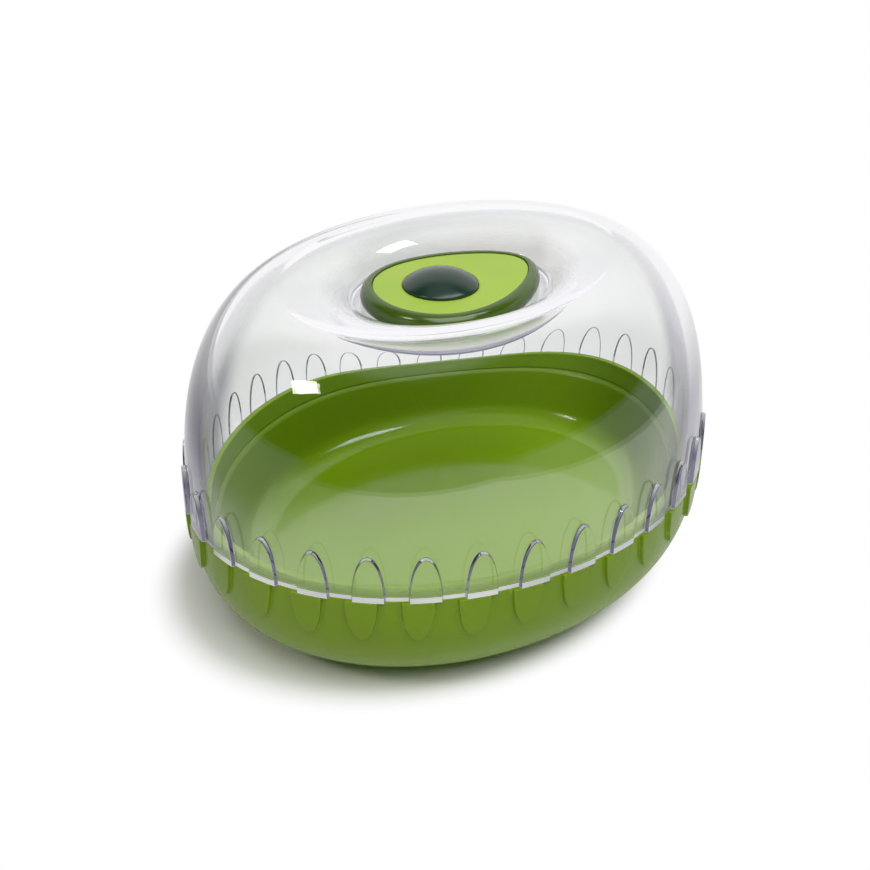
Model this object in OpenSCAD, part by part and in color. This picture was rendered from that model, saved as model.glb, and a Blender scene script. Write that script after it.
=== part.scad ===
// Avocado keeper: a green bowl, a clear dome lid with a sunken grip well, and a half-avocado knob.
// Millimetres, +Z up, +X along the long axis towards the knob's narrow end, z = 0 under the foot.

/* [Outline] */
// Length of the bowl and lid at the parting line, without the petals
body_l = 150; // [130:1:180]
// Width of the bowl and lid at the parting line, without the petals
body_w = 123; // [110:1:145]

/* [Bowl] */
// Height of the bowl up to the ledge that carries the lid
bowl_h = 35; // [28:0.5:45]
// How far the outside draws in from the ledge to the flat foot
foot_inset = 38.5; // [28:0.5:42]
// Height of the flat inner floor above the foot
floor_h = 14.5; // [8:0.5:20]
// How far the inner wall has drawn in from the outline where it meets the floor
floor_inset = 15; // [12:0.5:20]
// Radius between the inner wall and the floor
floor_fillet = 9; // [2:0.5:10]
// Height of the upright rim that locates the lid
spigot_h = 2.5; // [1.5:0.1:5]
// Thickness of the upright rim at its top
spigot_t = 1.8; // [1.2:0.1:2.5]
// Depth of the flared band inside the rim
band_h = 6; // [4:0.5:10]
// How far the flared band leans in over its depth
band_lean = 1; // [0.5:0.1:2]
// Width of the small step under the flared band
band_step = 0.4; // [0.2:0.1:1]

/* [Lid] */
// Height of the lid's crown above the ledge
dome_h = 57.5; // [45:0.5:70]
// Distance of the crown inside the outline
crown_inset = 26.5; // [22:0.5:30]
// Thickness of the lid's wall
lid_t = 3.4; // [1.6:0.1:4]
// Gap between the lid's wall and the upright rim
lid_gap = 0.4; // [0.3:0.1:0.8]

/* [Grip well] */
// Gap between the knob's belly and the well's wall, which flares out above it as finger room
well_gap = 2.6; // [2:0.1:6]
// Height of the flare from the crown down into the well
roll_h = 8.6; // [6:0.2:10]
// Straight height of the well's wall
well_wall = 0.3; // [0.2:0.1:4]
// Radius between the well's wall and its floor
well_fillet = 1.2; // [0.8:0.1:2]
// Thickness of the well's wall and floor
well_t = 2.6; // [1.4:0.1:4]

/* [Petals] */
// Number of petals round the outline
petal_count = 32; // [20:1:40]
// Width of a petal at the parting line
petal_w = 8; // [5:0.5:9]
// Height of a petal on the lid
lid_petal_h = 12.5; // [8:0.5:16]
// Height of a petal on the bowl
bowl_petal_h = 11.5; // [6:0.5:14]
// Distance of a petal's flat end from the parting line
petal_end = 0.15; // [0.05:0.05:0.5]
// How far a petal stands out
petal_proud = 1; // [0.4:0.1:1.5]
// Narrowing of a petal's face on each side
petal_draft = 0.25; // [0.1:0.05:0.4]
// Arc from the +X end to the middle of the lid's first petal
petal_lead = 4.1; // [0:0.1:13]
// How far the bowl's petals lie behind the lid's
petal_lag = 1.8; // [0:0.1:4]

/* [Knob] */
// Length of the flesh plate
flesh_l = 44.6; // [36:0.2:50]
// Width of the flesh plate across its middle
flesh_w = 33.2; // [26:0.2:38]
// How strongly the plate narrows towards +X
flesh_taper = 0.26; // [0.1:0.02:0.32]
// Place of the plate's middle along X
flesh_x = 1.4; // [-2:0.1:3]
// Thickness of the flesh plate
flesh_t = 1.6; // [1:0.1:2.5]
// Depth of the flesh plate's face below the skin's rim
flesh_sink = 0.3; // [0.1:0.1:0.8]
// Gap round the flesh plate in its pocket
flesh_gap = 0.15; // [0.1:0.05:0.3]
// Height of the knob above the well's floor
knob_h = 4.6; // [4:0.2:9]
// Width of the skin's rim beside the flesh plate
rim_w = 0.6; // [0.4:0.1:1.2]
// How far the skin swells past the flesh plate
skin_bulge = 3.2; // [2:0.1:5]
// Height of the skin's widest line above the well's floor
belly_h = 1.4; // [1:0.1:3]
// How far the skin draws in again at its foot
skin_tuck = 0.8; // [0.3:0.1:1.5]
// Diameter of the pit
pit_d = 19.5; // [14:0.5:24]
// Height of the pit above the flesh plate
pit_h = 4; // [2:0.2:6]
// Upright edge of the pit above the flesh plate
pit_edge = 0.6; // [0.2:0.1:1]
// Depth of the pit's seat in the flesh plate
pit_seat = 0.8; // [0.4:0.1:0.9]
// Gap round the pit in its seat
pit_gap = 0.1; // [0.05:0.05:0.2]
// Place of the pit's middle along X
pit_x = -3.7; // [-6:0.1:2]

/* [Hidden] */

// Sides of every closed outline, and steps along each rounded stretch
sides = 64;
dome_steps = 10;
bowl_steps = 8;
roll_steps = 6;
fillet_steps = 3;
floor_steps = 6;
knob_steps = 5;
slice_t = 0.02;

// Fullness of the lid's shoulder and of the bowl's outside, inwards and upwards, and of the flare
dome_round = [1.9, 2.58];
bowl_round = [2.59, 2.81];
roll_round = 1.46;

half_l = body_l / 2;
half_w = body_w / 2;
crown_z = bowl_h + dome_h;
well_z = crown_z - roll_h - well_wall - well_fillet;
well_out = skin_bulge + well_gap;
spigot_out = lid_t + lid_gap;
spigot_in = spigot_out + spigot_t;
rim_z = bowl_h + spigot_h;
band_z = rim_z - band_h;
knob_z = well_z + knob_h;
flesh_z = knob_z - flesh_sink;
belly_z = well_z + belly_h;
pit_r = pit_d / 2;
cap_h = pit_h - pit_edge;
cap_r = (pit_r * pit_r + cap_h * cap_h) / (2 * cap_h);

// The oval outline, drawn in by a distance along its normal
function oval_normal(a) =
    let (n = [half_w * cos(a), half_l * sin(a)])
    n / norm(n);
function oval_point(a, inset) =
    [half_l * cos(a), half_w * sin(a)] - inset * oval_normal(a);

// The avocado outline, let out by a distance along its normal
function egg_normal(a) =
    let (dx = -flesh_l / 2 * sin(a))
    let (dy = flesh_w / 2 * (cos(a) - flesh_taper * cos(2 * a)))
    [dy, -dx] / norm([dx, dy]);
function egg_point(a, out) =
    [flesh_x + flesh_l / 2 * cos(a), flesh_w / 2 * sin(a) * (1 - flesh_taper * cos(a))]
    + out * egg_normal(a);

// Level rings of points: oval, avocado, and a share of the way from the one to the other
angles = [for (i = [0:sides - 1]) 360 * i / sides];
function lifted(p, z) = [p.x, p.y, z];
function oval_ring(inset, z) = [for (a = angles) lifted(oval_point(a, inset), z)];
function egg_ring(out, z) = [for (a = angles) lifted(egg_point(a, out), z)];
function blend_ring(inset, out, share, z) =
    [for (a = angles) lifted(oval_point(a, inset) * (1 - share) + egg_point(a, out) * share, z)];

// Place on a quarter of a rounded curve, as shares of its reach inwards and upwards
function reach(t, round) = 1 - pow(cos(90 * t), 2 / round[0]);
function rise(t, round) = pow(sin(90 * t), 2 / round[1]);
function reversed(list) = [for (i = [len(list) - 1:-1:0]) list[i]];

// Lid surfaces from the ledge to the well's floor. The outer one has a skin and a well skin of 0, the
// inner one lid_t and well_t.
function dome_rings(skin) = [
    for (i = [0:dome_steps])
    let (t = i / dome_steps)
    oval_ring(
        skin + (crown_inset - skin) * reach(t, dome_round),
        bowl_h + (dome_h - skin) * rise(t, dome_round)
    )
];
function roll_rings(skin, well_skin) = [
    for (i = [1:roll_steps])
    let (f = 90 * i / roll_steps)
    let (drop = roll_h - skin + well_skin)
    blend_ring(
        crown_inset,
        well_out + well_skin,
        pow(sin(f), 2 / roll_round),
        crown_z - skin - drop * (1 - pow(cos(f), 2 / roll_round))
    )
];
function corner_rings(well_skin) = [
    for (i = [0:fillet_steps])
    let (f = 90 * i / fillet_steps)
    egg_ring(
        well_out + well_skin - well_fillet * (1 - cos(f)),
        well_z - well_skin + well_fillet * (1 - sin(f))
    )
];
function lid_rings(skin, well_skin) =
    concat(dome_rings(skin), roll_rings(skin, well_skin), corner_rings(well_skin));

// Bowl surfaces: outside from the foot to the ledge, and inside from the band's step down a straight
// wall and a fillet to the floor
step_in = spigot_in + band_lean + band_step;
wall_lean = atan((floor_inset - step_in) / (band_z - floor_h));
fillet_reach = floor_fillet * tan((90 - wall_lean) / 2);
function bowl_outside() = [
    for (i = [bowl_steps:-1:0])
    let (t = i / bowl_steps)
    oval_ring(foot_inset * reach(t, bowl_round), bowl_h * (1 - rise(t, bowl_round)))
];
function floor_rings() = [
    for (i = [0:floor_steps])
    let (f = wall_lean + (90 - wall_lean) * i / floor_steps)
    oval_ring(
        floor_inset + fillet_reach - floor_fillet * cos(f),
        floor_h + floor_fillet * (1 - sin(f))
    )
];

// Skin surfaces: from the well's floor to the belly, and from there to the rim
function tuck_rings() = [
    for (i = [fillet_steps:-1:1])
    let (f = 90 * i / fillet_steps)
    egg_ring(skin_bulge - skin_tuck * (1 - cos(f)), belly_z - belly_h * sin(f))
];
function belly_rings() = [
    for (i = [knob_steps:-1:0])
    let (f = 90 * i / knob_steps)
    egg_ring(
        flesh_gap + rim_w + (skin_bulge - flesh_gap - rim_w) * sin(f),
        belly_z + (knob_z - belly_z) * cos(f)
    )
];

// Arc length round the outline, degree by degree, and the angle at a given arc length
function degree_arc(i) = norm(oval_point(i + 1, 0) - oval_point(i, 0));
arc_table = [for (i = 0, s = 0; i <= 360; s = s + degree_arc(i), i = i + 1) [s, i]];
perimeter = arc_table[360][0];
function arc_angle(s) = lookup(s - perimeter * floor(s / perimeter), arc_table);

// Closed solid through a list of rings: a flat cap under the first, then upwards or inwards to a
// flat cap over the last
module ring_solid(rings) {
    rows = len(rings);
    points = [for (r = rings) each r];
    walls = [
        for (j = [0:rows - 2], i = [0:sides - 1])
        let (k = (i + 1) % sides)
        each [
            [j * sides + i, (j + 1) * sides + i, j * sides + k],
            [j * sides + k, (j + 1) * sides + i, (j + 1) * sides + k]
        ]
    ];
    first_cap = [for (i = [0:sides - 1]) i];
    last_cap = [for (i = [sides - 1:-1:0]) (rows - 1) * sides + i];
    polyhedron(points, concat(walls, [first_cap, last_cap]), convexity = 8);
}

// Half an ellipse standing near the parting line, as a thin upright slice
module petal_slice(w, h)
    rotate([90, 0, 90])
    linear_extrude(slice_t)
    polygon([for (a = [0:20:180]) [w / 2 * cos(a), petal_end + (h - petal_end) * sin(a)]]);

// One raised petal, sunk into the wall by half the wall's thickness
module petal(h)
    hull() {
        translate([-lid_t / 2, 0, 0]) petal_slice(petal_w, h);
        translate([petal_proud - slice_t, 0, 0]) petal_slice(petal_w - 2 * petal_draft, h - petal_draft);
    }

// The row of petals, evenly spaced along the outline; up is 1 for the lid and -1 for the bowl
module petal_row(lead, h, up)
    for (i = [0:petal_count - 1]) {
        a = arc_angle(lead + i * perimeter / petal_count);
        n = oval_normal(a);
        translate(lifted(oval_point(a, 0), bowl_h))
            rotate(atan2(n.y, n.x))
            scale([1, 1, up])
            petal(h);
    }

module egg_plate(t)
    linear_extrude(t)
    polygon([for (a = angles) egg_point(a, 0)]);

// Bowl with its foot, ledge, upright rim and flared band
module base_bowl()
    color("olivedrab")
    union() {
        ring_solid(concat(
            bowl_outside(),
            [
                oval_ring(spigot_out, bowl_h),
                oval_ring(spigot_out, rim_z),
                oval_ring(spigot_in, rim_z),
                oval_ring(spigot_in + band_lean, band_z),
                oval_ring(step_in, band_z)
            ],
            floor_rings()
        ));
        petal_row(petal_lead - petal_lag, bowl_petal_h, -1);
    }

// Clear lid: dome, crown, grip well and petals in one wall
module dome_lid()
    color("lavender", 0.35)
    union() {
        ring_solid(concat(reversed(lid_rings(lid_t, well_t)), lid_rings(0, 0)));
        petal_row(petal_lead, lid_petal_h, 1);
    }

// Dark skin of the half avocado, with a pocket for the flesh plate
module knob_skin()
    color("darkolivegreen")
    ring_solid(concat(
        tuck_rings(),
        belly_rings(),
        [
            egg_ring(flesh_gap, knob_z),
            egg_ring(flesh_gap, flesh_z - flesh_t)
        ]
    ));

// Lime plate with a round seat for the pit
module knob_flesh()
    color("yellowgreen")
    difference() {
        translate([0, 0, flesh_z - flesh_t])
            egg_plate(flesh_t);
        translate([pit_x, 0, flesh_z - pit_seat])
            cylinder(h = flesh_t, d = pit_d + 2 * pit_gap, $fn = 96);
    }

// Dark domed pit, seated in the plate
module knob_pit()
    color("darkslategray")
    translate([pit_x, 0, flesh_z])
    union() {
        translate([0, 0, -pit_seat])
            cylinder(h = pit_seat + pit_edge, d = pit_d, $fn = 96);
        intersection() {
            translate([0, 0, pit_h - cap_r])
                sphere(cap_r, $fn = 96);
            translate([0, 0, pit_edge - slice_t])
                cylinder(h = pit_h, d = pit_d, $fn = 96);
        }
    }

base_bowl();
dome_lid();
knob_skin();
knob_flesh();
knob_pit();
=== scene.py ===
import math

import bmesh
import bpy
import numpy as np
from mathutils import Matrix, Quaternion, Vector


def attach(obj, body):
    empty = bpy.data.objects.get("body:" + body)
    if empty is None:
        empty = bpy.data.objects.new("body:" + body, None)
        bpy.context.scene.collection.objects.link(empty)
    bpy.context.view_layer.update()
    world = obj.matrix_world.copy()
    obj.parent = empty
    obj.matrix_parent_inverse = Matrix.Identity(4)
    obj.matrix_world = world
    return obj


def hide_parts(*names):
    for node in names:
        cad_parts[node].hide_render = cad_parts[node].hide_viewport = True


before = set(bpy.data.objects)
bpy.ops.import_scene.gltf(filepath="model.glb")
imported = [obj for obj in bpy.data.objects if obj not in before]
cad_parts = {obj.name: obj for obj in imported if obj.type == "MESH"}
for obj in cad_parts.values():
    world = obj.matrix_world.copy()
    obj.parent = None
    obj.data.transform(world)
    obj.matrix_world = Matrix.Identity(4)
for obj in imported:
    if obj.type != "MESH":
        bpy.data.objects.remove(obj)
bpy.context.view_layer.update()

# Sizes in the dictionaries are millimetres, in the frame of the solids. Meshes are made in metres.
mm = 0.001
print("frame loaded:", ", ".join(sorted(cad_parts)))

outline = {
    "length": 150,
    "width": 123,
    "parting": 35,  # height of the line where the lid meets the bowl
    "columns": 256,  # points round every smooth ring, a whole number for each petal
}
halfLength = outline["length"] / 2
halfWidth = outline["width"] / 2
parting = outline["parting"]

# The avocado outline, shared by the well, the skin and the flesh plate
avocado = {"length": 44.6, "width": 33.2, "taper": 0.26, "x": 1.4}


# Outlines, as rings of points at the angles given
def ovalRing(angles, inset):
    normal = np.stack([halfWidth * np.cos(angles), halfLength * np.sin(angles)], axis=-1)
    normal /= np.linalg.norm(normal, axis=-1, keepdims=True)
    edge = np.stack([halfLength * np.cos(angles), halfWidth * np.sin(angles)], axis=-1)
    return edge - np.asarray(inset)[..., None] * normal


def avocadoRing(angles, out):
    halfL, halfW, taper = avocado["length"] / 2, avocado["width"] / 2, avocado["taper"]
    alongX = -halfL * np.sin(angles)
    alongY = halfW * (np.cos(angles) - taper * np.cos(2 * angles))
    normal = np.stack([alongY, -alongX], axis=-1)
    normal /= np.linalg.norm(normal, axis=-1, keepdims=True)
    x = avocado["x"] + halfL * np.cos(angles)
    y = halfW * np.sin(angles) * (1 - taper * np.cos(angles))
    return np.stack([x, y], axis=-1) + out * normal


def circleRing(angles, x, radius):
    return np.stack([x + radius * np.cos(angles), radius * np.sin(angles)], axis=-1)


# A quarter of a rounded wall: how far it has come in, and how far up, at a share t of the way
def reachIn(t, fullness):
    return 1 - max(math.cos(math.pi / 2 * t), 0) ** (2 / fullness[0])


def riseUp(t, fullness):
    return math.sin(math.pi / 2 * t) ** (2 / fullness[1])


def shareAtRise(rise, fullness):
    return np.arcsin(np.clip(rise, 0, 1) ** (fullness[1] / 2)) * 2 / math.pi


def insetAtRise(rise, fullness):
    return 1 - np.cos(math.pi / 2 * shareAtRise(rise, fullness)) ** (2 / fullness[0])


# Arc length round the outline, so that petals and columns are evenly spaced
arcAngles = np.linspace(0, 2 * math.pi, 7201)
arcSteps = np.linalg.norm(np.diff(ovalRing(arcAngles, 0 * arcAngles), axis=0), axis=1)
arcLengths = np.concatenate([[0], np.cumsum(arcSteps)])
perimeter = arcLengths[-1]


def angleAt(arc):
    return np.interp(np.mod(arc, perimeter), arcLengths, arcAngles)


# Mesh helpers
def addRing(bm, xy, z):
    heights = np.broadcast_to(z, len(xy))
    return [bm.verts.new((x * mm, y * mm, h * mm)) for (x, y), h in zip(xy, heights)]


def joinRings(bm, rings):
    for lower, upper in zip(rings, rings[1:]):
        for i in range(len(lower)):
            bm.faces.new((lower[i - 1], lower[i], upper[i], upper[i - 1]))


# Joins two closed rings that differ in their number of points
def stitchRings(bm, ringA, arcA, ringB, arcB):
    countA, countB = len(ringA), len(ringB)
    endA = np.append(arcA, arcA[0] + perimeter)
    endB = np.append(arcB, arcB[0] + perimeter)
    i = j = 0
    faces = []
    while i < countA or j < countB:
        here, across = ringA[i % countA], ringB[j % countB]
        if j == countB or (i < countA and endA[i + 1] <= endB[j + 1]):
            i += 1
            faces.append(bm.faces.new((here, ringA[i % countA], across)))
        else:
            j += 1
            faces.append(bm.faces.new((here, ringB[j % countB], across)))
    return faces


def capRing(bm, ring):
    middle = sum((v.co for v in ring), Vector()) / len(ring)
    rings = [ring]
    for share in (0.7, 0.4):
        rings.append([bm.verts.new(middle + (v.co - middle) * share) for v in ring])
    joinRings(bm, rings)
    bm.faces.new(rings[-1])


# Gives every point of some rings a value in a mask
def paintRings(rings, mask, value):
    for ring in rings:
        for v in ring:
            v[mask] = value


# A section's corners (offset, height, radius) as points, with each corner rounded
def softSection(corners, steps=4):
    points = [np.array(corners[0][:2], float)]
    for before, corner, after in zip(corners, corners[1:], corners[2:]):
        middle = np.array(corner[:2], float)
        back, ahead = np.array(before[:2]) - middle, np.array(after[:2]) - middle
        lengths = np.linalg.norm(back), np.linalg.norm(ahead)
        trim = min(corner[2], 0.48 * min(lengths))
        start, end = middle + back / lengths[0] * trim, middle + ahead / lengths[1] * trim
        for share in np.linspace(0, 1, steps + 1):
            curve = (1 - share) ** 2 * start + 2 * share * (1 - share) * middle + share**2 * end
            points.append(curve)
    points.append(np.array(corners[-1][:2], float))
    return points


# Merges points that fall together, and rides the piece on its body in place of its solid
meshing = {"mergeWithin": 0.0005, "shadingWeight": 60}


def finishPiece(bm, name, materials, body, node):
    bmesh.ops.remove_doubles(bm, verts=bm.verts, dist=meshing["mergeWithin"] * mm)
    bmesh.ops.recalc_face_normals(bm, faces=bm.faces)
    mesh = bpy.data.meshes.new(name)
    bm.to_mesh(mesh)
    bm.free()
    mesh.polygons.foreach_set("use_smooth", [True] * len(mesh.polygons))
    for material in materials:
        mesh.materials.append(material)
    piece = bpy.data.objects.new(name, mesh)
    bpy.context.scene.collection.objects.link(piece)
    weighted = piece.modifiers.new("evenShading", "WEIGHTED_NORMAL")
    weighted.weight = meshing["shadingWeight"]
    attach(piece, body)
    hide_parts(node)
    print("made", name, "with", len(mesh.polygons), "faces")
    return piece


# Raised petals, half ellipses in a row on both sides of the parting line
petals = {
    "count": 32,
    "width": 8,
    "lead": 4.1,  # arc from +X to the middle of the lid's first petal
    "lag": 1.8,  # the bowl's petals lie this far behind the lid's
    "soft": 0.22,  # rounding of the wall's edge at the parting line
    "sidePoints": 9,
    # distance outside the petal's outline, and height above the wall
    "profile": [
        (0.9, 0), (0.35, 0), (0.1, 0), (0.02, 0.04), (-0.04, 0.18),
        (-0.2, 0.84), (-0.25, 0.95), (-0.36, 1), (-0.75, 1),
    ],
    "fillColumns": 7,
    "rimLoops": range(6, 10),  # the loops on a petal's steep side, counted from its border
}
pitch = perimeter / petals["count"]


# One belt of petals. It returns the ring that the plain wall goes on from, and the parting edge.
def petalBelt(bm, height, beltHeight, lead, wallAt, side, gap, rim=None):
    sidePoints = petals["sidePoints"]
    edge = gap + petals["soft"]
    alpha = np.linspace(0, math.pi, 3 * sidePoints - 2)

    def petalLoop(spread, out):
        u = (petals["width"] / 2 + spread) * np.cos(alpha)
        v = edge + (height - edge + spread) * np.sin(alpha)
        return np.stack([u, v, np.full_like(u, out)], axis=-1)

    upward = np.linspace(edge, beltHeight, sidePoints)
    across = np.linspace(pitch / 2, -pitch / 2, sidePoints)
    short = sidePoints - 1
    borderU = np.concatenate([np.full(sidePoints, pitch / 2), across[1:], np.full(short, -pitch / 2)])
    borderV = np.concatenate([upward, np.full(short, beltHeight), upward[-2::-1]])
    border = np.stack([borderU, borderV, 0 * borderU], axis=-1)
    petalLoops = [petalLoop(spread, out) for spread, out in petals["profile"]]
    loops = [border + (petalLoops[0] - border) * share for share in (0, 0.35, 0.7)] + petalLoops
    last, apex = len(alpha) - 1, len(alpha) // 2
    fill = np.linspace(0, 1, petals["fillColumns"])[1:-1, None]
    fillRows = [loops[-1][last - r] * (1 - fill) + loops[-1][r] * fill for r in range(apex)]

    def place(points, middle):
        arc = middle + points[:, 0]
        xy = ovalRing(angleAt(arc), wallAt(points[:, 1]) - points[:, 2])
        return addRing(bm, xy, parting + side * points[:, 1])

    top, edgeRing, edgeArc, edgeOut = [], [], [], []
    for k in range(petals["count"]):
        middle = lead + k * pitch
        grid = [place(loop, middle) for loop in loops]
        # marks the petals' steep sides for the lid's painted shade
        if rim:
            paintRings([grid[row] for row in petals["rimLoops"]], rim, 1)
        for outer, inner in zip(grid, grid[1:]):
            for i in range(last):
                bm.faces.new((outer[i], outer[i + 1], inner[i + 1], inner[i]))
        rows = []
        for r, points in enumerate(fillRows):
            rows.append([grid[-1][last - r]] + place(points, middle) + [grid[-1][r]])
        for lower, upper in zip(rows, rows[1:]):
            for i in range(len(lower) - 1):
                bm.faces.new((lower[i], lower[i + 1], upper[i + 1], upper[i]))
        for i in range(len(rows[-1]) - 1):
            bm.faces.new((rows[-1][i], rows[-1][i + 1], grid[-1][apex]))
        top += [grid[0][2 * short - m] for m in range(short)]
        edgePoints = [loop[last] for loop in loops] + list(fillRows[0]) + [loop[0] for loop in loops[:0:-1]]
        edgeRing += [row[last] for row in grid] + rows[0][1:-1] + [row[0] for row in grid[:0:-1]]
        edgeArc += [middle + p[0] for p in edgePoints]
        edgeOut += [p[2] for p in edgePoints]
    return {"top": top, "edgeRing": edgeRing, "edgeArc": np.array(edgeArc), "edgeOut": np.array(edgeOut)}


# The rounded edge below a belt, down to the parting line
def softEdge(bm, belt, wallAt, side, gap):
    angles = angleAt(belt["edgeArc"])
    soft = petals["soft"]
    rings = [belt["edgeRing"]]
    for f in np.radians((30, 60, 90)):
        inset = wallAt(gap + soft) - belt["edgeOut"] + soft * (1 - math.cos(f))
        rings.append(addRing(bm, ovalRing(angles, inset), parting + side * (gap + soft * (1 - math.sin(f)))))
    joinRings(bm, rings)
    return rings[-1]


def columnArcs(lead):
    return lead - pitch / 2 + perimeter * np.arange(outline["columns"]) / outline["columns"]


# Node helpers. A plain number or colour is set on its socket, and anything else is linked to it.
mixSockets = {"FLOAT": (2, 3, 0), "RGBA": (6, 7, 2)}  # a Mix node's two inputs and its output


def feed(link, socket, value):
    if isinstance(value, (int, float, tuple)):
        socket.default_value = value
    else:
        link(value, socket)


def mixNode(nodes, link, factor, first, second, kind="RGBA"):
    mix = nodes.new("ShaderNodeMix")
    mix.data_type = kind
    firstAt, secondAt, resultAt = mixSockets[kind]
    link(factor, mix.inputs["Factor"])
    feed(link, mix.inputs[firstAt], first)
    feed(link, mix.inputs[secondAt], second)
    return mix.outputs[resultAt]


def mathNode(nodes, link, operation, first, second):
    node = nodes.new("ShaderNodeMath")
    node.operation = operation
    feed(link, node.inputs[0], first)
    feed(link, node.inputs[1], second)
    return node.outputs[0]


def fadeNode(nodes, link, value, start, full, low=0, high=1):
    fade = nodes.new("ShaderNodeMapRange")
    fade.interpolation_type = "SMOOTHSTEP"
    for label, number in (("From Min", start), ("From Max", full), ("To Min", low), ("To Max", high)):
        fade.inputs[label].default_value = number
    link(value, fade.inputs["Value"])
    return fade.outputs["Result"]


def mixShaders(nodes, link, factor, first, second):
    mix = nodes.new("ShaderNodeMixShader")
    link(factor, mix.inputs["Fac"])
    link(first, mix.inputs[1])
    link(second, mix.inputs[2])
    return mix.outputs["Shader"]


# A mask that a builder painted on the mesh's points
def maskOf(nodes, name):
    mask = nodes.new("ShaderNodeAttribute")
    mask.attribute_name = name
    return mask.outputs["Fac"]


# Effects that several finishes share
effects = {
    "grainDetail": 3,
    "glossDetail": 4,
    "glossSpread": (0.3, 0.7),  # the part of the noise that is stretched over the whole range
    "toneDetail": 5,
    "toneSpread": (0.32, 0.68),
    "ridgeSpread": (0.52, 0.62),  # pointiness of a raised edge
}


def startGroup(name, inputs, outputs):
    group = bpy.data.node_groups.new(name, "ShaderNodeTree")
    for label, kind, value in inputs:
        socket = group.interface.new_socket(label, in_out="INPUT", socket_type=kind)
        socket.default_value = value
    for label, kind in outputs:
        group.interface.new_socket(label, in_out="OUTPUT", socket_type=kind)
    return group, group.nodes.new("NodeGroupInput"), group.nodes.new("NodeGroupOutput")


def noiseNode(group, coordinates, scale, detail):
    noise = group.nodes.new("ShaderNodeTexNoise")
    noise.inputs["Detail"].default_value = detail
    group.links.new(coordinates, noise.inputs["Vector"])
    group.links.new(scale, noise.inputs["Scale"])
    return noise.outputs["Fac"]


def spreadNode(group, value, reach):
    spread = group.nodes.new("ShaderNodeMapRange")
    spread.inputs["From Min"].default_value, spread.inputs["From Max"].default_value = reach
    group.links.new(value, spread.inputs["Value"])
    return spread


# Fine grain of a moulded face: a height for bump, and a gloss that drifts between two values
def mouldGrainGroup():
    inputs = [
        ("Grain Scale", "NodeSocketFloat", 900),
        ("Gloss Scale", "NodeSocketFloat", 60),
        ("Low", "NodeSocketFloat", 0.2),
        ("High", "NodeSocketFloat", 0.3),
    ]
    outputs = [("Height", "NodeSocketFloat"), ("Roughness", "NodeSocketFloat")]
    group, start, end = startGroup("mouldGrain", inputs, outputs)
    link = group.links.new
    place = group.nodes.new("ShaderNodeTexCoord").outputs["Object"]
    grain = noiseNode(group, place, start.outputs["Grain Scale"], effects["grainDetail"])
    drift = noiseNode(group, place, start.outputs["Gloss Scale"], effects["glossDetail"])
    gloss = spreadNode(group, drift, effects["glossSpread"])
    link(start.outputs["Low"], gloss.inputs["To Min"])
    link(start.outputs["High"], gloss.inputs["To Max"])
    link(grain, end.inputs["Height"])
    link(gloss.outputs["Result"], end.inputs["Roughness"])
    return group


# Colour that drifts slowly between two tones, as coloured plastic does
def toneDriftGroup():
    inputs = [
        ("Deep", "NodeSocketColor", (0, 0, 0, 1)),
        ("Light", "NodeSocketColor", (1, 1, 1, 1)),
        ("Scale", "NodeSocketFloat", 30),
    ]
    group, start, end = startGroup("toneDrift", inputs, [("Color", "NodeSocketColor")])
    nodes, link = group.nodes, group.links.new
    place = nodes.new("ShaderNodeTexCoord").outputs["Object"]
    drift = noiseNode(group, place, start.outputs["Scale"], effects["toneDetail"])
    share = spreadNode(group, drift, effects["toneSpread"]).outputs["Result"]
    tone = mixNode(nodes, link, share, start.outputs["Deep"], start.outputs["Light"])
    link(tone, end.inputs["Color"])
    return group


# Paler plastic along raised edges: a painted highlight on the ridges, found from the mesh's pointiness
def edgeHighlightGroup():
    inputs = [
        ("Color", "NodeSocketColor", (0.5, 0.5, 0.5, 1)),
        ("Edge", "NodeSocketColor", (1, 1, 1, 1)),
        ("Amount", "NodeSocketFloat", 0.5),
    ]
    group, start, end = startGroup("edgeHighlight", inputs, [("Color", "NodeSocketColor")])
    nodes, link = group.nodes, group.links.new
    shape = nodes.new("ShaderNodeNewGeometry")
    ridge = spreadNode(group, shape.outputs["Pointiness"], effects["ridgeSpread"]).outputs["Result"]
    share = mathNode(nodes, link, "MULTIPLY", ridge, start.outputs["Amount"])
    highlighted = mixNode(nodes, link, share, start.outputs["Color"], start.outputs["Edge"])
    link(highlighted, end.inputs["Color"])
    return group


mouldGrain = mouldGrainGroup()
toneDrift = toneDriftGroup()
edgeHighlight = edgeHighlightGroup()
print("shared effects made")


def placeGroup(material, group, values):
    node = material.node_tree.nodes.new("ShaderNodeGroup")
    node.node_tree = group
    for label, value in values.items():
        node.inputs[label].default_value = value
    return node


def newMaterial(name):
    material = bpy.data.materials.new(name)
    material.use_nodes = True
    material.node_tree.nodes.clear()
    output = material.node_tree.nodes.new("ShaderNodeOutputMaterial")
    shader = material.node_tree.nodes.new("ShaderNodeBsdfPrincipled")
    return material, shader, output


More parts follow.
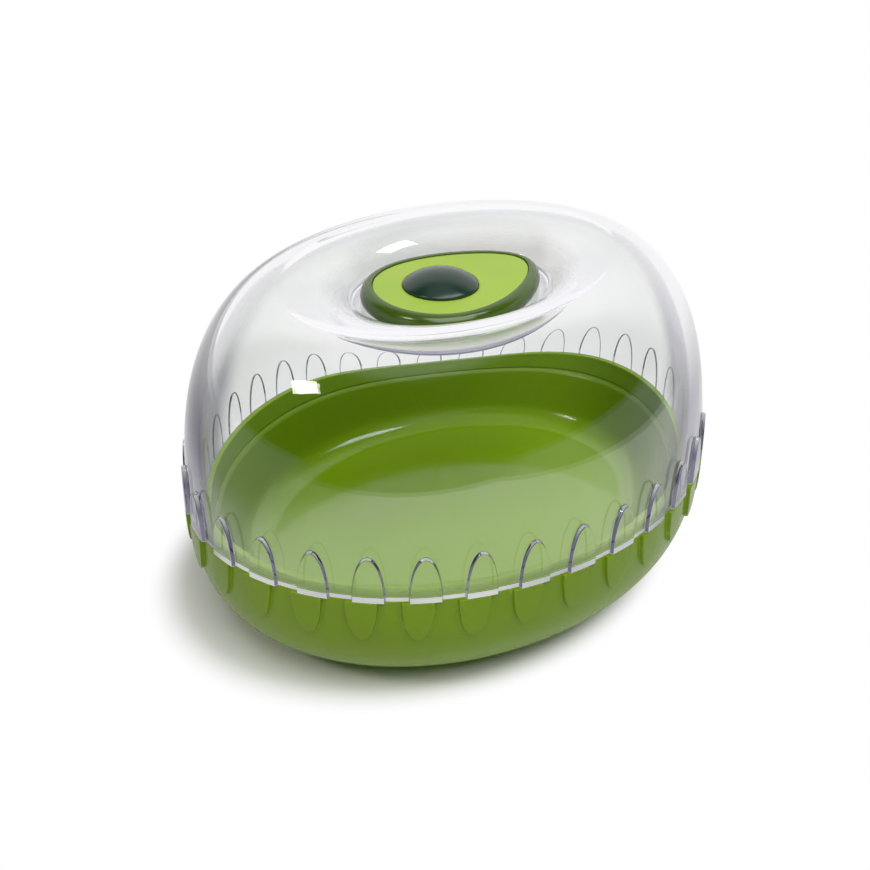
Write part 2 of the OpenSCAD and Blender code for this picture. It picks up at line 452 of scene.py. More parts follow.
# Opaque coloured plastic, from one dictionary for each finish
def plasticFinish(name, finish):
    material, shader, output = newMaterial(name)
    nodes, link = material.node_tree.nodes, material.node_tree.links.new
    tone = placeGroup(material, toneDrift, {
        "Deep": finish["deep"], "Light": finish["light"], "Scale": finish["driftScale"]})
    # Painted highlight along raised edges
    highlight = placeGroup(material, edgeHighlight, {"Edge": finish["edge"], "Amount": finish["edgeHighlightAmount"]})
    grain = placeGroup(material, mouldGrain, {
        "Grain Scale": finish["grainScale"], "Gloss Scale": finish["glossScale"],
        "Low": finish["roughLow"], "High": finish["roughHigh"]})
    bump = nodes.new("ShaderNodeBump")
    bump.inputs["Strength"].default_value = finish["grainStrength"]
    bump.inputs["Distance"].default_value = finish["grainDepth"] * mm
    color, rough = tone.outputs["Color"], grain.outputs["Roughness"]
    # Painted shade: the bowl's inner walls and band are darker where the mesh's wall mask is set
    if "wallShade" in finish:
        color = mixNode(nodes, link, maskOf(nodes, "wall"), color, finish["wallShade"])
    if "matteRough" in finish:
        rough = mixNode(nodes, link, maskOf(nodes, "matte"), rough, finish["matteRough"], "FLOAT")
    link(color, highlight.inputs["Color"])
    link(highlight.outputs["Color"], shader.inputs["Base Color"])
    link(rough, shader.inputs["Roughness"])
    link(grain.outputs["Height"], bump.inputs["Height"])
    link(bump.outputs["Normal"], shader.inputs["Normal"])
    link(shader.outputs["BSDF"], output.inputs["Surface"])
    shader.inputs["IOR"].default_value = finish["ior"]
    return material


# Bowl: belly, petals, ledge, upright rim, flared band and floor
bowl = {
    "height": 35,
    "footInset": 38.5,
    "floorHeight": 14.5,
    "floorInset": 15,  # where the straight inner wall would meet the floor
    "floorFillet": 9,
    "fullness": (2.59, 2.81),
    "petalHeight": 11.5,
    "beltHeight": 14,
    "rimOut": 3.8,  # the upright rim's outer face, measured in from the outline
    "rimIn": 5.6,
    "rimTop": 37.5,
    "bandFoot": 31.5,
    "bandLean": 1,
    "step": 0.4,
    "groove": 0.35,  # the fine groove under the band
    "rimSoft": 0.35,
    "bellyRings": 29,
    "wallRings": 7,
    "filletRings": 14,
    "bandShade": 0.6,  # share of the walls' painted shade on the band
    "shadeHeight": 6,  # above the floor, where the walls' painted shade is full
    "finish": {
        "deep": (0.153, 0.257, 0.001, 1),
        "light": (0.169, 0.286, 0.0014, 1),
        "edge": (0.26, 0.42, 0.04, 1),
        "edgeHighlightAmount": 0.6,
        "driftScale": 22,
        "grainScale": 1500,
        "glossScale": 45,
        "grainStrength": 0.1,
        "grainDepth": 0.01,
        "roughLow": 0.22,
        "roughHigh": 0.3,
        "ior": 1.3,
    },
    # The inside is polished, and the band inside the rim has a satin face. The inside and outside greens are
    # lit and shaded copies of one plastic: the inside is painted lighter, the outside darker
    "inside": {
        "deep": (0.228, 0.405, 0.0007, 1),
        "light": (0.255, 0.443, 0.001, 1),
        "roughLow": 0.09,
        "roughHigh": 0.13,
        "matteRough": 0.55,
        # painted shade of the inner walls
        "wallShade": (0.155, 0.276, 0.0006, 1),
        "ior": 1.56,
    },
}


def bowlWallAt(drop):
    return bowl["footInset"] * insetAtRise(drop / bowl["height"], bowl["fullness"])


def buildBowl():
    bm = bmesh.new()
    matte = bm.verts.layers.float.new("matte")
    # mask of the painted shade on the inner walls and band
    wall = bm.verts.layers.float.new("wall")
    lead = petals["lead"] - petals["lag"]
    arcs = columnArcs(lead)
    angles = angleAt(arcs)
    fullness = bowl["fullness"]
    belt = petalBelt(bm, bowl["petalHeight"], bowl["beltHeight"], lead, bowlWallAt, -1, 0)
    rings = [belt["top"]]
    startShare = shareAtRise(bowl["beltHeight"] / bowl["height"], fullness)
    for t in np.linspace(startShare, 1, bowl["bellyRings"] + 1)[1:]:
        inset = np.full(len(angles), bowl["footInset"] * reachIn(t, fullness))
        rings.append(addRing(bm, ovalRing(angles, inset), bowl["height"] * (1 - riseUp(t, fullness))))
    joinRings(bm, rings)
    capRing(bm, rings[-1])

    # Ledge, upright rim and flared band as one section, with the rounding of each corner
    ledgeEdge = softEdge(bm, belt, bowlWallAt, -1, 0)
    bandFoot = bowl["bandFoot"]
    bandIn = bowl["rimIn"] + bowl["bandLean"]
    stepIn = bandIn + bowl["step"]
    section = softSection([
        (bowl["rimOut"] - 0.3, parting, 0),
        (bowl["rimOut"], parting, 0.15),
        (bowl["rimOut"], bowl["rimTop"], bowl["rimSoft"]),
        (bowl["rimIn"], bowl["rimTop"], bowl["rimSoft"]),
        (bandIn, bandFoot + 0.3, 0.2),
        (bandIn - bowl["groove"], bandFoot + 0.1, 0.15),
        (bandIn - bowl["groove"], bandFoot - 0.2, 0.15),
        (stepIn, bandFoot - 0.35, 0),
    ])
    # Straight inner wall, fillet and flat floor
    radius, floorHeight, floorInset = bowl["floorFillet"], bowl["floorHeight"], bowl["floorInset"]
    lean = math.atan((floorInset - stepIn) / (bandFoot - floorHeight))
    middle = floorInset + radius * math.tan((math.pi / 2 - lean) / 2)
    fillet = [
        (middle - radius * math.cos(f), floorHeight + radius * (1 - math.sin(f)))
        for f in np.linspace(lean, math.pi / 2, bowl["filletRings"])
    ]
    wallTop = section[-1]
    for share in np.linspace(0, 1, bowl["wallRings"] + 2)[1:-1]:
        section.append(wallTop * (1 - share) + np.array(fillet[0]) * share)
    section += fillet
    inner = [addRing(bm, ovalRing(angles, np.full(len(angles), p[0])), p[1]) for p in section]
    for ring, (inset, height) in zip(inner, section):
        if inset > stepIn:  # the walls' painted shade runs out down the fillet
            shadeShare = (height - floorHeight) / bowl["shadeHeight"]
            paintRings([ring], wall, min(1, max(0, shadeShare)))
        # the band gets the satin mask and part of the walls' painted shade
        elif inset >= bowl["rimIn"] and height > bandFoot - 0.5:
            paintRings([ring], matte, 1)
            paintRings([ring], wall, bowl["bandShade"])
    stitchRings(bm, ledgeEdge, belt["edgeArc"], inner[0], arcs)
    outsideCount = len(bm.faces)
    joinRings(bm, inner)
    capRing(bm, inner[-1])
    bm.faces.ensure_lookup_table()
    for face in bm.faces[outsideCount:]:
        face.material_index = 1
    outside = plasticFinish("bowlGreen", bowl["finish"])
    inside = plasticFinish("bowlInside", bowl["finish"] | bowl["inside"])
    return finishPiece(bm, "bowlShell", [outside, inside], "bowl", "base_bowl")


# Lid: dome, crown, roll into the grip well, and the well itself, as one clear wall
lid = {
    "domeHeight": 57.5,
    "crownInset": 26.5,
    "wall": 3.4,
    "fullness": (1.9, 2.58),
    "rollHeight": 8.6,
    "rollFullness": 1.46,
    "wellStraight": 0.3,
    "wellFillet": 1.2,
    "wellOut": 5.8,  # the well's wall, measured out from the flesh plate's outline
    "wellWall": 2.6,
    "petalHeight": 12.5,
    "beltHeight": 17,
    "seatGap": 0.06,  # keeps the clear edge off the bowl's ledge
    "domeRings": 45,
    "rollRings": 28,
    "filletRings": 8,
    "ior": 1.62,
    "tint": (0.8, 0.78, 0.9, 1),
    "tintDensity": 22,
    "clear": (1, 1, 1, 1),
    "clearDeep": (0.985, 0.985, 0.99, 1),
    "grazingLow": (0.15, 0.145, 0.2, 1),  # painted lilac shade where the wall is seen edge on
    "grazingHigh": (0.85, 0.85, 0.87, 1),
    "rimShade": (0.08, 0.075, 0.15, 1),  # painted shade: the petals' steep sides are darkened, less so at a slant or facing up
    "rimSlant": 0.25,
    "slantFade": (0.45, 0.8),
    "rimUp": 0.2,
    "upFade": (0.25, 0.75),
    "grazingStart": 0.52,
    "grazingFull": 0.66,
    "caughtLow": (0.035, 0.033, 0.065, 1),  # painted glow for sight that is caught between the two faces, dark low down
    "caughtHigh": (1, 1, 1, 1),
    "caughtDepth": 1.5,
    "wellShade": (0.2, 0.195, 0.26, 1),  # painted lilac shade under the well's floor, also in the painted glow there
    "paleStart": 58,  # the painted edge-on shade and the painted glow of caught sight both pale upwards between these heights
    "paleFull": 82,
    # A painted reflection: the well's wall under the flare is given a milky white with a glow of its own
    "milkyReflection": {
        "deep": (0.72, 0.73, 0.68, 1),
        "light": (0.88, 0.88, 0.85, 1),
        "scale": 25,
        "rough": 0.35,
        "glow": 0.5,
        "share": 0.75,
        "rings": 15,  # of the flare's inner face, up from the fillet
        "fadeIn": 8,
        "fadeOut": 4,
    },
    "shadowTint": (0.95, 0.95, 0.96, 1),
    "roughLow": 0.0,
    "roughHigh": 0.012,
    "toneScale": 18,
    "grainScale": 120,
    "glossScale": 35,
    # The flat lower edge is frosted
    "frost": {
        "deep": (0.6, 0.595, 0.64, 1),
        "light": (0.95, 0.95, 0.93, 1),
        "scale": 30,
        "rough": 0.55,
        "glow": 0.4,
    },
}
crownHeight = parting + lid["domeHeight"]
wellFloor = crownHeight - lid["rollHeight"] - lid["wellStraight"] - lid["wellFillet"]


def lidWallAt(lift):
    return lid["crownInset"] * insetAtRise(lift / lid["domeHeight"], lid["fullness"])


# One surface of the lid from a height above the parting line to the well's floor. The skins are 0 outside,
# and the wall's and the well's thickness inside.
def lidSkin(bm, angles, skin, wellSkin, startRise):
    fullness = lid["fullness"]
    rings = []
    tall = lid["domeHeight"] - skin
    for t in np.linspace(shareAtRise(startRise / tall, fullness), 1, lid["domeRings"] + 1)[1:]:
        inset = np.full(len(angles), skin + (lid["crownInset"] - skin) * reachIn(t, fullness))
        rings.append(addRing(bm, ovalRing(angles, inset), parting + tall * riseUp(t, fullness)))
    crown = ovalRing(angles, np.full(len(angles), lid["crownInset"]))
    wellRing = avocadoRing(angles, lid["wellOut"] + wellSkin)
    drop = lid["rollHeight"] - skin + wellSkin
    for f in np.linspace(0, math.pi / 2, lid["rollRings"] + 1)[1:]:
        share = math.sin(f) ** (2 / lid["rollFullness"])
        height = crownHeight - skin - drop * (1 - max(math.cos(f), 0) ** (2 / lid["rollFullness"]))
        rings.append(addRing(bm, crown * (1 - share) + wellRing * share, height))
    fillet = lid["wellFillet"]
    for f in np.linspace(0, math.pi / 2, lid["filletRings"]):
        out = lid["wellOut"] + wellSkin - fillet * (1 - math.cos(f))
        rings.append(addRing(bm, avocadoRing(angles, out), wellFloor - wellSkin + fillet * (1 - math.sin(f))))
    return rings


# A drifting tone with a little light of its own, since the key box doesn't light the lid
def softTone(material, shader, finish):
    link = material.node_tree.links.new
    tone = placeGroup(material, toneDrift, {
        "Deep": finish["deep"], "Light": finish["light"], "Scale": finish["scale"]})
    link(tone.outputs["Color"], shader.inputs["Base Color"])
    link(tone.outputs["Color"], shader.inputs["Emission Color"])
    shader.inputs["Emission Strength"].default_value = finish["glow"]
    shader.inputs["Roughness"].default_value = finish["rough"]


def clearFinish():
    material, shader, output = newMaterial("lidClear")
    nodes, link = material.node_tree.nodes, material.node_tree.links.new
    tone = placeGroup(material, toneDrift, {
        "Deep": lid["clearDeep"], "Light": lid["clear"], "Scale": lid["toneScale"]})
    grain = placeGroup(material, mouldGrain, {
        "Grain Scale": lid["grainScale"], "Gloss Scale": lid["glossScale"],
        "Low": lid["roughLow"], "High": lid["roughHigh"]})
    shader.inputs["Transmission Weight"].default_value = 1
    shader.inputs["Metallic"].default_value = 0
    shader.inputs["IOR"].default_value = lid["ior"]
    link(grain.outputs["Roughness"], shader.inputs["Roughness"])
    place = nodes.new("ShaderNodeSeparateXYZ")
    link(nodes.new("ShaderNodeTexCoord").outputs["Object"], place.inputs[0])
    upper = fadeNode(nodes, link, place.outputs["Z"], lid["paleStart"] * mm, lid["paleFull"] * mm)
    wellShadeMask = maskOf(nodes, "well")

    # Painted shade: lilac where the wall is seen edge on, darker low down, lilac under the well, and dark on
    # the petals' steep sides
    facing = nodes.new("ShaderNodeLayerWeight").outputs["Facing"]
    grazing = fadeNode(nodes, link, facing, lid["grazingStart"], lid["grazingFull"])
    lilac = mixNode(nodes, link, upper, lid["grazingLow"], lid["grazingHigh"])
    shade = mixNode(nodes, link, grazing, tone.outputs["Color"], lilac)
    # Painted lilac shade under the well
    shade = mixNode(nodes, link, wellShadeMask, shade, lid["wellShade"])
    # Painted dark shade on the petals' steep sides, less at a slant or facing up
    slant = fadeNode(nodes, link, facing, *lid["slantFade"], 1, lid["rimSlant"])
    lean = nodes.new("ShaderNodeSeparateXYZ")
    link(nodes.new("ShaderNodeNewGeometry").outputs["Normal"], lean.inputs[0])
    upward = fadeNode(nodes, link, lean.outputs["Z"], *lid["upFade"], 1, lid["rimUp"])
    dark = mathNode(nodes, link, "MULTIPLY", slant, upward)
    dark = mathNode(nodes, link, "MULTIPLY", maskOf(nodes, "rim"), dark)
    shade = mixNode(nodes, link, dark, shade, lid["rimShade"])
    link(shade, shader.inputs["Base Color"])

    # Painted reflection on the well's wall under the flare, mixed in by its mask
    milkyReflectionShader = nodes.new("ShaderNodeBsdfPrincipled")
    softTone(material, milkyReflectionShader, lid["milkyReflection"])
    surface = mixShaders(nodes, link, maskOf(nodes, "milkyReflection"), shader.outputs["BSDF"], milkyReflectionShader.outputs["BSDF"])

    # Sight that is caught between the two faces ends in a painted glow, dark low down, paler upwards and
    # lilac under the well
    path = nodes.new("ShaderNodeLightPath")
    caught = mathNode(nodes, link, "GREATER_THAN", path.outputs["Glossy Depth"], lid["caughtDepth"])
    ending = mixNode(nodes, link, upper, lid["caughtLow"], lid["caughtHigh"])
    pale = nodes.new("ShaderNodeEmission")
    link(mixNode(nodes, link, wellShadeMask, ending, lid["wellShade"]), pale.inputs["Color"])
    surface = mixShaders(nodes, link, caught, surface, pale.outputs["Emission"])

    # Lamps and soft bounces pass straight through the clear wall
    straight = nodes.new("ShaderNodeBsdfTransparent")
    straight.inputs["Color"].default_value = lid["shadowTint"]
    soft = mathNode(nodes, link, "MAXIMUM", path.outputs["Is Shadow Ray"], path.outputs["Is Diffuse Ray"])
    surface = mixShaders(nodes, link, soft, surface, straight.outputs["BSDF"])
    link(surface, output.inputs["Surface"])
    tint = nodes.new("ShaderNodeVolumeAbsorption")
    tint.inputs["Color"].default_value = lid["tint"]
    tint.inputs["Density"].default_value = lid["tintDensity"]
    link(tint.outputs["Volume"], output.inputs["Volume"])
    material.cycles.emission_sampling = "NONE"
    return material


def frostFinish():
    material, shader, output = newMaterial("lidFrost")
    softTone(material, shader, lid["frost"])
    material.node_tree.links.new(shader.outputs["BSDF"], output.inputs["Surface"])
    material.cycles.emission_sampling = "NONE"
    return material


def buildLid():
    bm = bmesh.new()
    masks = ("milkyReflection", "rim", "well")
    for name in masks:
        bm.verts.layers.float.new(name)
    milkyReflectionMask, rimShadeMask, wellShadeMask = (bm.verts.layers.float[name] for name in masks)
    arcs = columnArcs(petals["lead"])
    angles = angleAt(arcs)
    gap, soft, wall, milkyReflection = lid["seatGap"], petals["soft"], lid["wall"], lid["milkyReflection"]
    belt = petalBelt(bm, lid["petalHeight"], lid["beltHeight"], petals["lead"], lidWallAt, 1, gap, rimShadeMask)
    outside = [belt["top"]] + lidSkin(bm, angles, 0, 0, lid["beltHeight"])
    joinRings(bm, outside)
    capRing(bm, outside[-1])
    edge = softEdge(bm, belt, lidWallAt, 1, gap)
    inside = []
    for f in np.radians((90, 60, 30, 0)):
        inset = np.full(len(angles), wall - soft * (1 - math.cos(f)))
        inside.append(addRing(bm, ovalRing(angles, inset), parting + gap + soft * (1 - math.sin(f))))
    for face in stitchRings(bm, edge, belt["edgeArc"], inside[0], arcs):
        face.material_index = 1
    inside += lidSkin(bm, angles, wall, lid["wellWall"], gap + soft)
    flareFoot = len(inside) - lid["filletRings"]
    # mask of the painted reflection on the flare's inner face
    milkStart = flareFoot - milkyReflection["rings"] - 1
    for k in range(1, milkyReflection["rings"]):
        share = min(1, k / milkyReflection["fadeIn"], (milkyReflection["rings"] - k) / milkyReflection["fadeOut"])
        paintRings([inside[milkStart + k]], milkyReflectionMask, milkyReflection["share"] * share)
    # mask of the painted shade under the well's floor
    paintRings(inside[flareFoot - 2:], wellShadeMask, 1)
    joinRings(bm, inside)
    capRing(bm, inside[-1])
    return finishPiece(bm, "lidShell", [clearFinish(), frostFinish()], "lid", "dome_lid")


# Knob: dark skin with a pocket, lime plate and dark pit
knob = {
    "columns": 192,
    "height": 4.6,
    "rim": 0.6,
    "bulge": 3.2,
    "belly": 1.4,
    "tuck": 0.8,
    "pocketGap": 0.15,
    "seatGap": 0.03,
    "tuckRings": 9,
    "bellyRings": 12,
    "finish": {
        "deep": (0.05, 0.1, 0.008, 1),
        "light": (0.066, 0.125, 0.012, 1),
        "edge": (0.12, 0.2, 0.03, 1),
        "edgeHighlightAmount": 0.5,
        "driftScale": 60,
        "grainScale": 1600,
        "glossScale": 80,
        "grainStrength": 0.3,
        "grainDepth": 0.02,
        "roughLow": 0.12,
        "roughHigh": 0.17,
        "ior": 1.49,
    },
}
knobTop = wellFloor + knob["height"]
knobAngles = 2 * math.pi * np.arange(knob["columns"]) / knob["columns"]

plate = {
    "thick": 1.6,
    "sink": 0.3,  # the plate's face lies this far below the skin's rim
    "soft": 0.3,
    "faceRings": 11,
    "finish": {
        "deep": (0.35, 0.53, 0.04, 1),
        "light": (0.41, 0.59, 0.06, 1),
        "edge": (0.5, 0.72, 0.14, 1),
        "edgeHighlightAmount": 0.4,
        "driftScale": 45,
        "grainScale": 2200,
        "glossScale": 90,
        "grainStrength": 0.35,
        "grainDepth": 0.02,
        "roughLow": 0.38,
        "roughHigh": 0.46,
        "ior": 1.47,
    },
}
plateFace = knobTop - plate["sink"]
plateFoot = plateFace - plate["thick"]

pit = {
    "x": -3.7,
    "radius": 9.75,
    "height": 4,
    "edge": 0.6,
    "seat": 0.8,
    "gap": 0.1,
    "capRings": 28,
    "finish": {
        "deep": (0.009, 0.03, 0.019, 1),
        "light": (0.013, 0.04, 0.025, 1),
        "edge": (0.04, 0.09, 0.06, 1),
        "edgeHighlightAmount": 0.6,
        "driftScale": 80,
        "grainScale": 1800,
        "glossScale": 90,
        "grainStrength": 0.3,
        "grainDepth": 0.02,
        "roughLow": 0.15,
        "roughHigh": 0.2,
        "ior": 1.49,
    },
}


def buildKnobSkin():
    bm = bmesh.new()
    bellyHeight = wellFloor + knob["belly"]
    rimOut = knob["pocketGap"] + knob["rim"]
    rings = []

    def level(out, height):
        rings.append(addRing(bm, avocadoRing(knobAngles, out), max(height, wellFloor + knob["seatGap"])))

    for f in np.linspace(math.pi / 2, 0, knob["tuckRings"]):
        level(knob["bulge"] - knob["tuck"] * (1 - math.cos(f)), bellyHeight - knob["belly"] * math.sin(f))
    for f in np.linspace(math.pi / 2, 0, knob["bellyRings"] + 2)[1:-1]:
        out = rimOut + (knob["bulge"] - rimOut) * math.sin(f)
        level(out, bellyHeight + (knobTop - bellyHeight) * math.cos(f))
    rim = softSection([
        (rimOut + 0.25, knobTop - 0.03, 0),
        (rimOut, knobTop, 0.15),
        (knob["pocketGap"], knobTop, 0.2),
        (knob["pocketGap"], plateFoot, 0),
    ])
    for out, height in rim:
        level(out, height)
    joinRings(bm, rings)
    capRing(bm, rings[0])
    capRing(bm, rings[-1])
    material = plasticFinish("skinGreen", knob["finish"])
    return finishPiece(bm, "knobSkin", [material], "lid", "knob_skin")


def buildPlate():
    bm = bmesh.new()
    soft = plate["soft"]
    edge = softSection([(0, plateFoot, 0), (0, plateFace, soft), (-2 * soft, plateFace, 0)])
    rings = [addRing(bm, avocadoRing(knobAngles, out), height) for out, height in edge]
    rimRing = avocadoRing(knobAngles, -2 * soft)
    seatRadius = pit["radius"] + pit["gap"]
    seatRing = circleRing(knobAngles, pit["x"], seatRadius + 0.15)
    for share in np.linspace(0, 1, plate["faceRings"] + 1)[1:]:
        rings.append(addRing(bm, rimRing * (1 - share) + seatRing * share, plateFace))
    for out, drop in ((0.05, 0.04), (0, 0.15), (0, pit["seat"])):
        rings.append(addRing(bm, circleRing(knobAngles, pit["x"], seatRadius + out), plateFace - drop))
    joinRings(bm, rings)
    capRing(bm, rings[0])
    capRing(bm, rings[-1])
    material = plasticFinish("fleshLime", plate["finish"])
    return finishPiece(bm, "knobFlesh", [material], "lid", "knob_flesh")


def buildPit():
    bm = bmesh.new()
    radius, edge = pit["radius"], pit["edge"]
    capHeight = pit["height"] - edge
    ball = (radius**2 + capHeight**2) / (2 * capHeight)
    widest = math.asin(radius / ball)
    section = [(radius, plateFace - pit["seat"]), (radius, plateFace), (radius, plateFace + 0.7 * edge)]
    for f in np.linspace(widest, 0.04, pit["capRings"]):
        section.append((ball * math.sin(f), plateFace + pit["height"] - ball * (1 - math.cos(f))))
    rings = [addRing(bm, circleRing(knobAngles, pit["x"], r), height) for r, height in section]
    joinRings(bm, rings)
    capRing(bm, rings[0])
    capRing(bm, rings[-1])
    material = plasticFinish("pitDark", pit["finish"])
    return finishPiece(bm, "knobPit", [material], "lid", "knob_pit")


opaquePieces = [buildBowl(), buildKnobSkin(), buildPlate(), buildPit()]
lidShell = buildLid()

# Camera at the photograph's angle, in metres and degrees
view = {
    "azimuth": -38.92,
    "elevation": 30.64,
    "distance": 0.35941,
    "target": (-0.00762, -0.00189, 0.045),
    "lens": 55.23,
    "shift": (0.0019, -0.0026),
}


def direction(azimuth, elevation):
    a, e = math.radians(azimuth), math.radians(elevation)
    return Vector((math.sin(a) * math.cos(e), -math.cos(a) * math.cos(e), math.sin(e)))


def makeCamera():
    back = direction(view["azimuth"], view["elevation"])
    data = bpy.data.cameras.new("studioCamera")
    data.lens = view["lens"]
    data.shift_x, data.shift_y = view["shift"]
    data.clip_start = 0.01
    camera = bpy.data.objects.new("studioCamera", data)
    camera.location = Vector(view["target"]) + back * view["distance"]
    camera.rotation_euler = (-back).to_track_quat("-Z", "Y").to_euler()
    bpy.context.scene.collection.objects.link(camera)
    bpy.context.scene.camera = camera


# White table and backdrop, a dark room in front for reflections, and the lamps: a key box, a small box at
# each side, and a glint that stands for the right box on the lid
studio = {
    "tableFront": 0.46,  # from the middle of the bowl to the table's edge, towards the camera
    "tableBack": 2.2,
    "tableLeft": 0.56,
    "tableRight": 0.3,
    "tableDrop": 0.0002,
    "tableColor": (0.93, 0.93, 0.93, 1),
    "whiteStart": 0.056,  # from here the table fades to plain white, as the photograph's background
    "whiteFull": 0.067,
    "whiteMiddle": (-0.004, 0.0103),
    "mirrorStart": 0.07,  # the same in reflections
    "mirrorFull": 0.11,
    "dimStart": -0.08,  # reflections show the table's left side dimmer
    "dimFull": -0.2,
    "dimAmount": 0.65,
    "mirrorDepth": 0.5,  # glossy bounces, over which a ray counts as a reflection
    "backdrop": (1, 1, 1, 1),
    "ambient": (0.045, 0.045, 0.045, 1),
    "ambientBehind": (0.32, 0.32, 0.32, 1),
    "mirrorRoom": (0.003, 0.003, 0.004, 1),
    "sideFloor": (0.3, 0.295, 0.34, 1),
    "sideStart": -0.85,  # towards the camera is -1, away from it 1
    "sideFull": -0.6,
    "horizon": 0.01,
    "overhead": (0.5, 0.5, 0.52, 1),
    "overheadStart": 0.86,
    "overheadFull": 0.97,
    "backdropStart": 0.25,
    "backdropFull": 0.6,
    "glintDepth": 2.5,  # faces of the lid passed, over which the glint shows
    "boxes": [
        {"name": "keyBox", "azimuth": -14, "elevation": 61, "distance": 1.1, "roll": 0,
         "width": 1.1, "height": 0.8, "power": 11.4, "color": (1, 1, 1), "lights": "belowLid"},
        {"name": "leftBox", "azimuth": -95.2, "elevation": 40.2, "distance": 0.946, "roll": 37.7,
         "width": 0.21, "height": 0.148, "power": 1.3, "color": (1, 0.94, 0.86), "lights": "all"},
        {"name": "rightBox", "azimuth": 52, "elevation": 57, "distance": 1.0, "roll": 0,
         "width": 0.18, "height": 0.28, "power": 1.0, "color": (0.84, 0.92, 1), "lights": "belowLid"},
        # a little nearer than the right box, as two lamps in one place hide each other
        {"name": "rightGlint", "azimuth": 52, "elevation": 57, "distance": 0.99, "roll": 0,
         "width": 0.18, "height": 0.28, "power": 1.6, "color": (0.84, 0.92, 1), "lights": "lid",
         "glintReach": 0.952},
    ],
}


# 1 where a ray comes from a mirror reflection or through clear walls, 0 for soft light
def sharpSight(nodes, link, path):
    glossy, through = path.outputs["Is Glossy Ray"], path.outputs["Is Transmission Ray"]
    return mathNode(nodes, link, "MAXIMUM", glossy, through)


# 1 where a ray was reflected on its way, 0 for straight sight
def mirroredSight(nodes, link, path):
    return mathNode(nodes, link, "GREATER_THAN", path.outputs["Glossy Depth"], studio["mirrorDepth"])


def alongNode(nodes, link, place, axis):
    along = nodes.new("ShaderNodeVectorMath")
    along.operation = "DOT_PRODUCT"
    along.inputs[1].default_value = axis
    link(place, along.inputs[0])
    return along.outputs["Value"]


def makeTable():
    towards = direction(view["azimuth"], 0)
    across = direction(view["azimuth"] + 90, 0)
    corners = []
    for along, aside in ((1, -1), (1, 1), (-1, 1), (-1, -1)):
        reach = studio["tableFront"] if along > 0 else -studio["tableBack"]
        width = studio["tableRight"] if aside > 0 else -studio["tableLeft"]
        corners.append(towards * reach + across * width - Vector((0, 0, studio["tableDrop"])))
    mesh = bpy.data.meshes.new("studioTable")
    mesh.from_pydata(corners, [], [(0, 1, 2, 3)])
    table = bpy.data.objects.new("studioTable", mesh)
    bpy.context.scene.collection.objects.link(table)
    material = bpy.data.materials.new("tableWhite")
    material.use_nodes = True
    nodes, link = material.node_tree.nodes, material.node_tree.links.new
    nodes.clear()
    output = nodes.new("ShaderNodeOutputMaterial")
    paint = nodes.new("ShaderNodeBsdfDiffuse")
    paint.inputs["Color"].default_value = studio["tableColor"]
    path = nodes.new("ShaderNodeLightPath")
    seen = mathNode(nodes, link, "MAXIMUM", path.outputs["Is Camera Ray"], sharpSight(nodes, link, path))
    mirrored = mirroredSight(nodes, link, path)

    # How far a spot is from the bowl's middle, with the oval squeezed to a circle
    spot = nodes.new("ShaderNodeNewGeometry").outputs["Position"]
    squeeze = nodes.new("ShaderNodeVectorMath")
    squeeze.operation = "MULTIPLY_ADD"
    squeezeX = halfWidth / halfLength
    middleX, middleY = studio["whiteMiddle"]
    squeeze.inputs[1].default_value = (squeezeX, 1, 0)
    squeeze.inputs[2].default_value = (-middleX * squeezeX, -middleY, 0)
    far = nodes.new("ShaderNodeVectorMath")
    far.operation = "LENGTH"
    link(spot, squeeze.inputs[0])
    link(squeeze.outputs["Vector"], far.inputs[0])
    fade = fadeNode(nodes, link, far.outputs["Value"], studio["whiteStart"], studio["whiteFull"])
    mirrorFade = fadeNode(nodes, link, far.outputs["Value"], studio["mirrorStart"], studio["mirrorFull"])
    share = mixNode(nodes, link, mirrored, fade, mirrorFade, "FLOAT")
    share = mathNode(nodes, link, "MULTIPLY", share, seen)

    sideways = alongNode(nodes, link, spot, across)
    dim = fadeNode(nodes, link, sideways, studio["dimStart"], studio["dimFull"], 1, 1 - studio["dimAmount"])
    white = nodes.new("ShaderNodeEmission")
    link(mixNode(nodes, link, mirrored, 1, dim, "FLOAT"), white.inputs["Strength"])
    surface = mixShaders(nodes, link, share, paint.outputs["BSDF"], white.outputs["Emission"])
    link(surface, output.inputs["Surface"])
    mesh.materials.append(material)
    return table


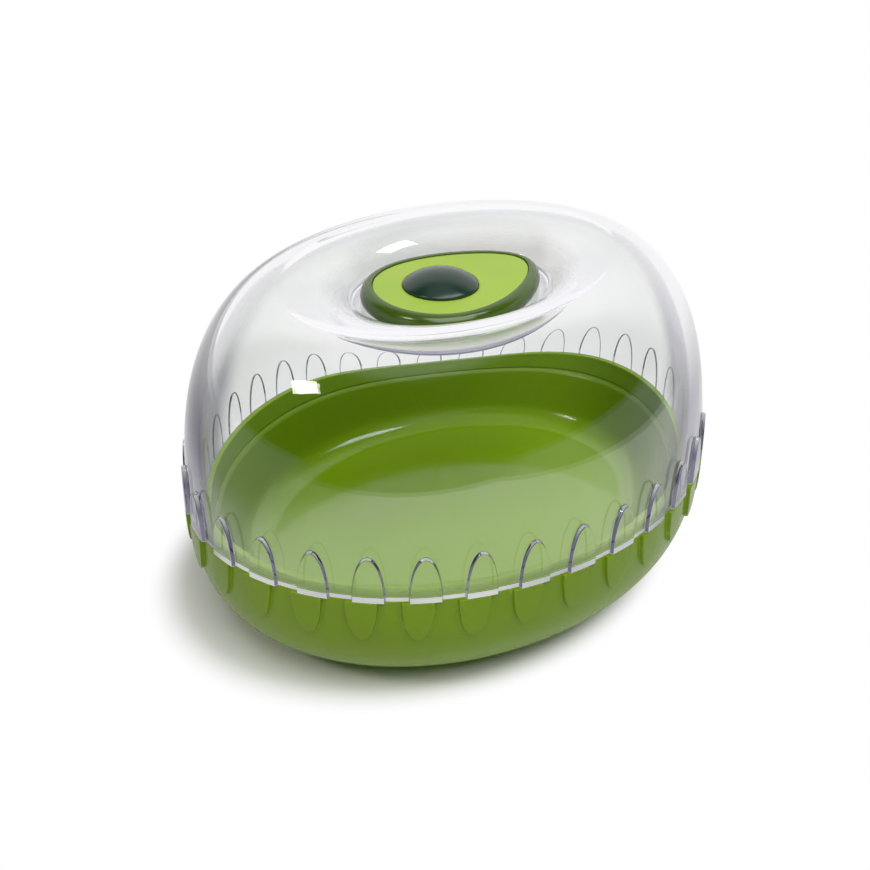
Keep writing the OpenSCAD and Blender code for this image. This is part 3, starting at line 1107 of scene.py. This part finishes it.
# The dark room that reflections show, an even soft light, and plain white for the camera and through the lid
def makeWorld():
    world = bpy.data.worlds.new("studioRoom")
    world.use_nodes = True
    bpy.context.scene.world = world
    nodes, link = world.node_tree.nodes, world.node_tree.links.new
    nodes.clear()
    output = nodes.new("ShaderNodeOutputWorld")
    background = nodes.new("ShaderNodeBackground")
    place = nodes.new("ShaderNodeTexCoord").outputs["Generated"]
    facing = alongNode(nodes, link, place, -direction(view["azimuth"], 0))
    height = alongNode(nodes, link, place, (0, 0, 1))
    below = fadeNode(nodes, link, height, studio["horizon"], -studio["horizon"])
    aside = fadeNode(nodes, link, facing, studio["sideStart"], studio["sideFull"])
    low = mathNode(nodes, link, "MULTIPLY", below, aside)
    high = fadeNode(nodes, link, height, studio["overheadStart"], studio["overheadFull"])
    behind = fadeNode(nodes, link, facing, studio["backdropStart"], studio["backdropFull"])
    path = nodes.new("ShaderNodeLightPath")
    room = mixNode(nodes, link, low, studio["mirrorRoom"], studio["sideFloor"])
    room = mixNode(nodes, link, high, room, studio["overhead"])
    room = mixNode(nodes, link, mirroredSight(nodes, link, path), studio["backdrop"], room)
    room = mixNode(nodes, link, behind, room, studio["backdrop"])
    soft = mixNode(nodes, link, behind, studio["ambient"], studio["ambientBehind"])
    light = mixNode(nodes, link, sharpSight(nodes, link, path), soft, room)
    light = mixNode(nodes, link, path.outputs["Is Camera Ray"], light, studio["backdrop"])
    link(light, background.inputs["Color"])
    link(background.outputs["Background"], output.inputs["Surface"])


# A lamp that only shows as a glint: on faces seen through the lid, and on parts of the lid far from the lamp
def glintOnly(data, reach):
    data.use_nodes = True
    nodes, link = data.node_tree.nodes, data.node_tree.links.new
    nodes.clear()
    output = nodes.new("ShaderNodeOutputLight")
    glow = nodes.new("ShaderNodeEmission")
    path = nodes.new("ShaderNodeLightPath")
    through = mathNode(nodes, link, "GREATER_THAN", path.outputs["Transmission Depth"], studio["glintDepth"])
    distant = mathNode(nodes, link, "GREATER_THAN", path.outputs["Ray Length"], reach)
    link(mathNode(nodes, link, "MAXIMUM", through, distant), glow.inputs["Strength"])
    link(glow.outputs["Emission"], output.inputs["Surface"])


def makeBoxes(table):
    middle = Vector((0, 0, parting * mm))
    receivers = {"belowLid": opaquePieces + [table], "lid": [lidShell]}
    for name, pieces in receivers.items():
        receivers[name] = bpy.data.collections.new(name)
        for piece in pieces:
            receivers[name].objects.link(piece)
    for box in studio["boxes"]:
        data = bpy.data.lights.new(box["name"], "AREA")
        data.shape = "RECTANGLE"
        data.size, data.size_y = box["width"], box["height"]
        data.energy = box["power"]
        data.color = box["color"]
        if "glintReach" in box:
            glintOnly(data, box["glintReach"])
        lamp = bpy.data.objects.new(box["name"], data)
        back = direction(box["azimuth"], box["elevation"])
        lamp.location = middle + back * box["distance"]
        turn = Quaternion((0, 0, 1), math.radians(box["roll"]))
        lamp.rotation_euler = ((-back).to_track_quat("-Z", "Y") @ turn).to_euler()
        lamp.visible_camera = False
        if box["lights"] in receivers:
            lamp.light_linking.receiver_collection = receivers[box["lights"]]
        bpy.context.scene.collection.objects.link(lamp)


makeCamera()
makeWorld()
makeBoxes(makeTable())
bpy.context.scene.view_settings.view_transform = "Standard"
print("studio ready")
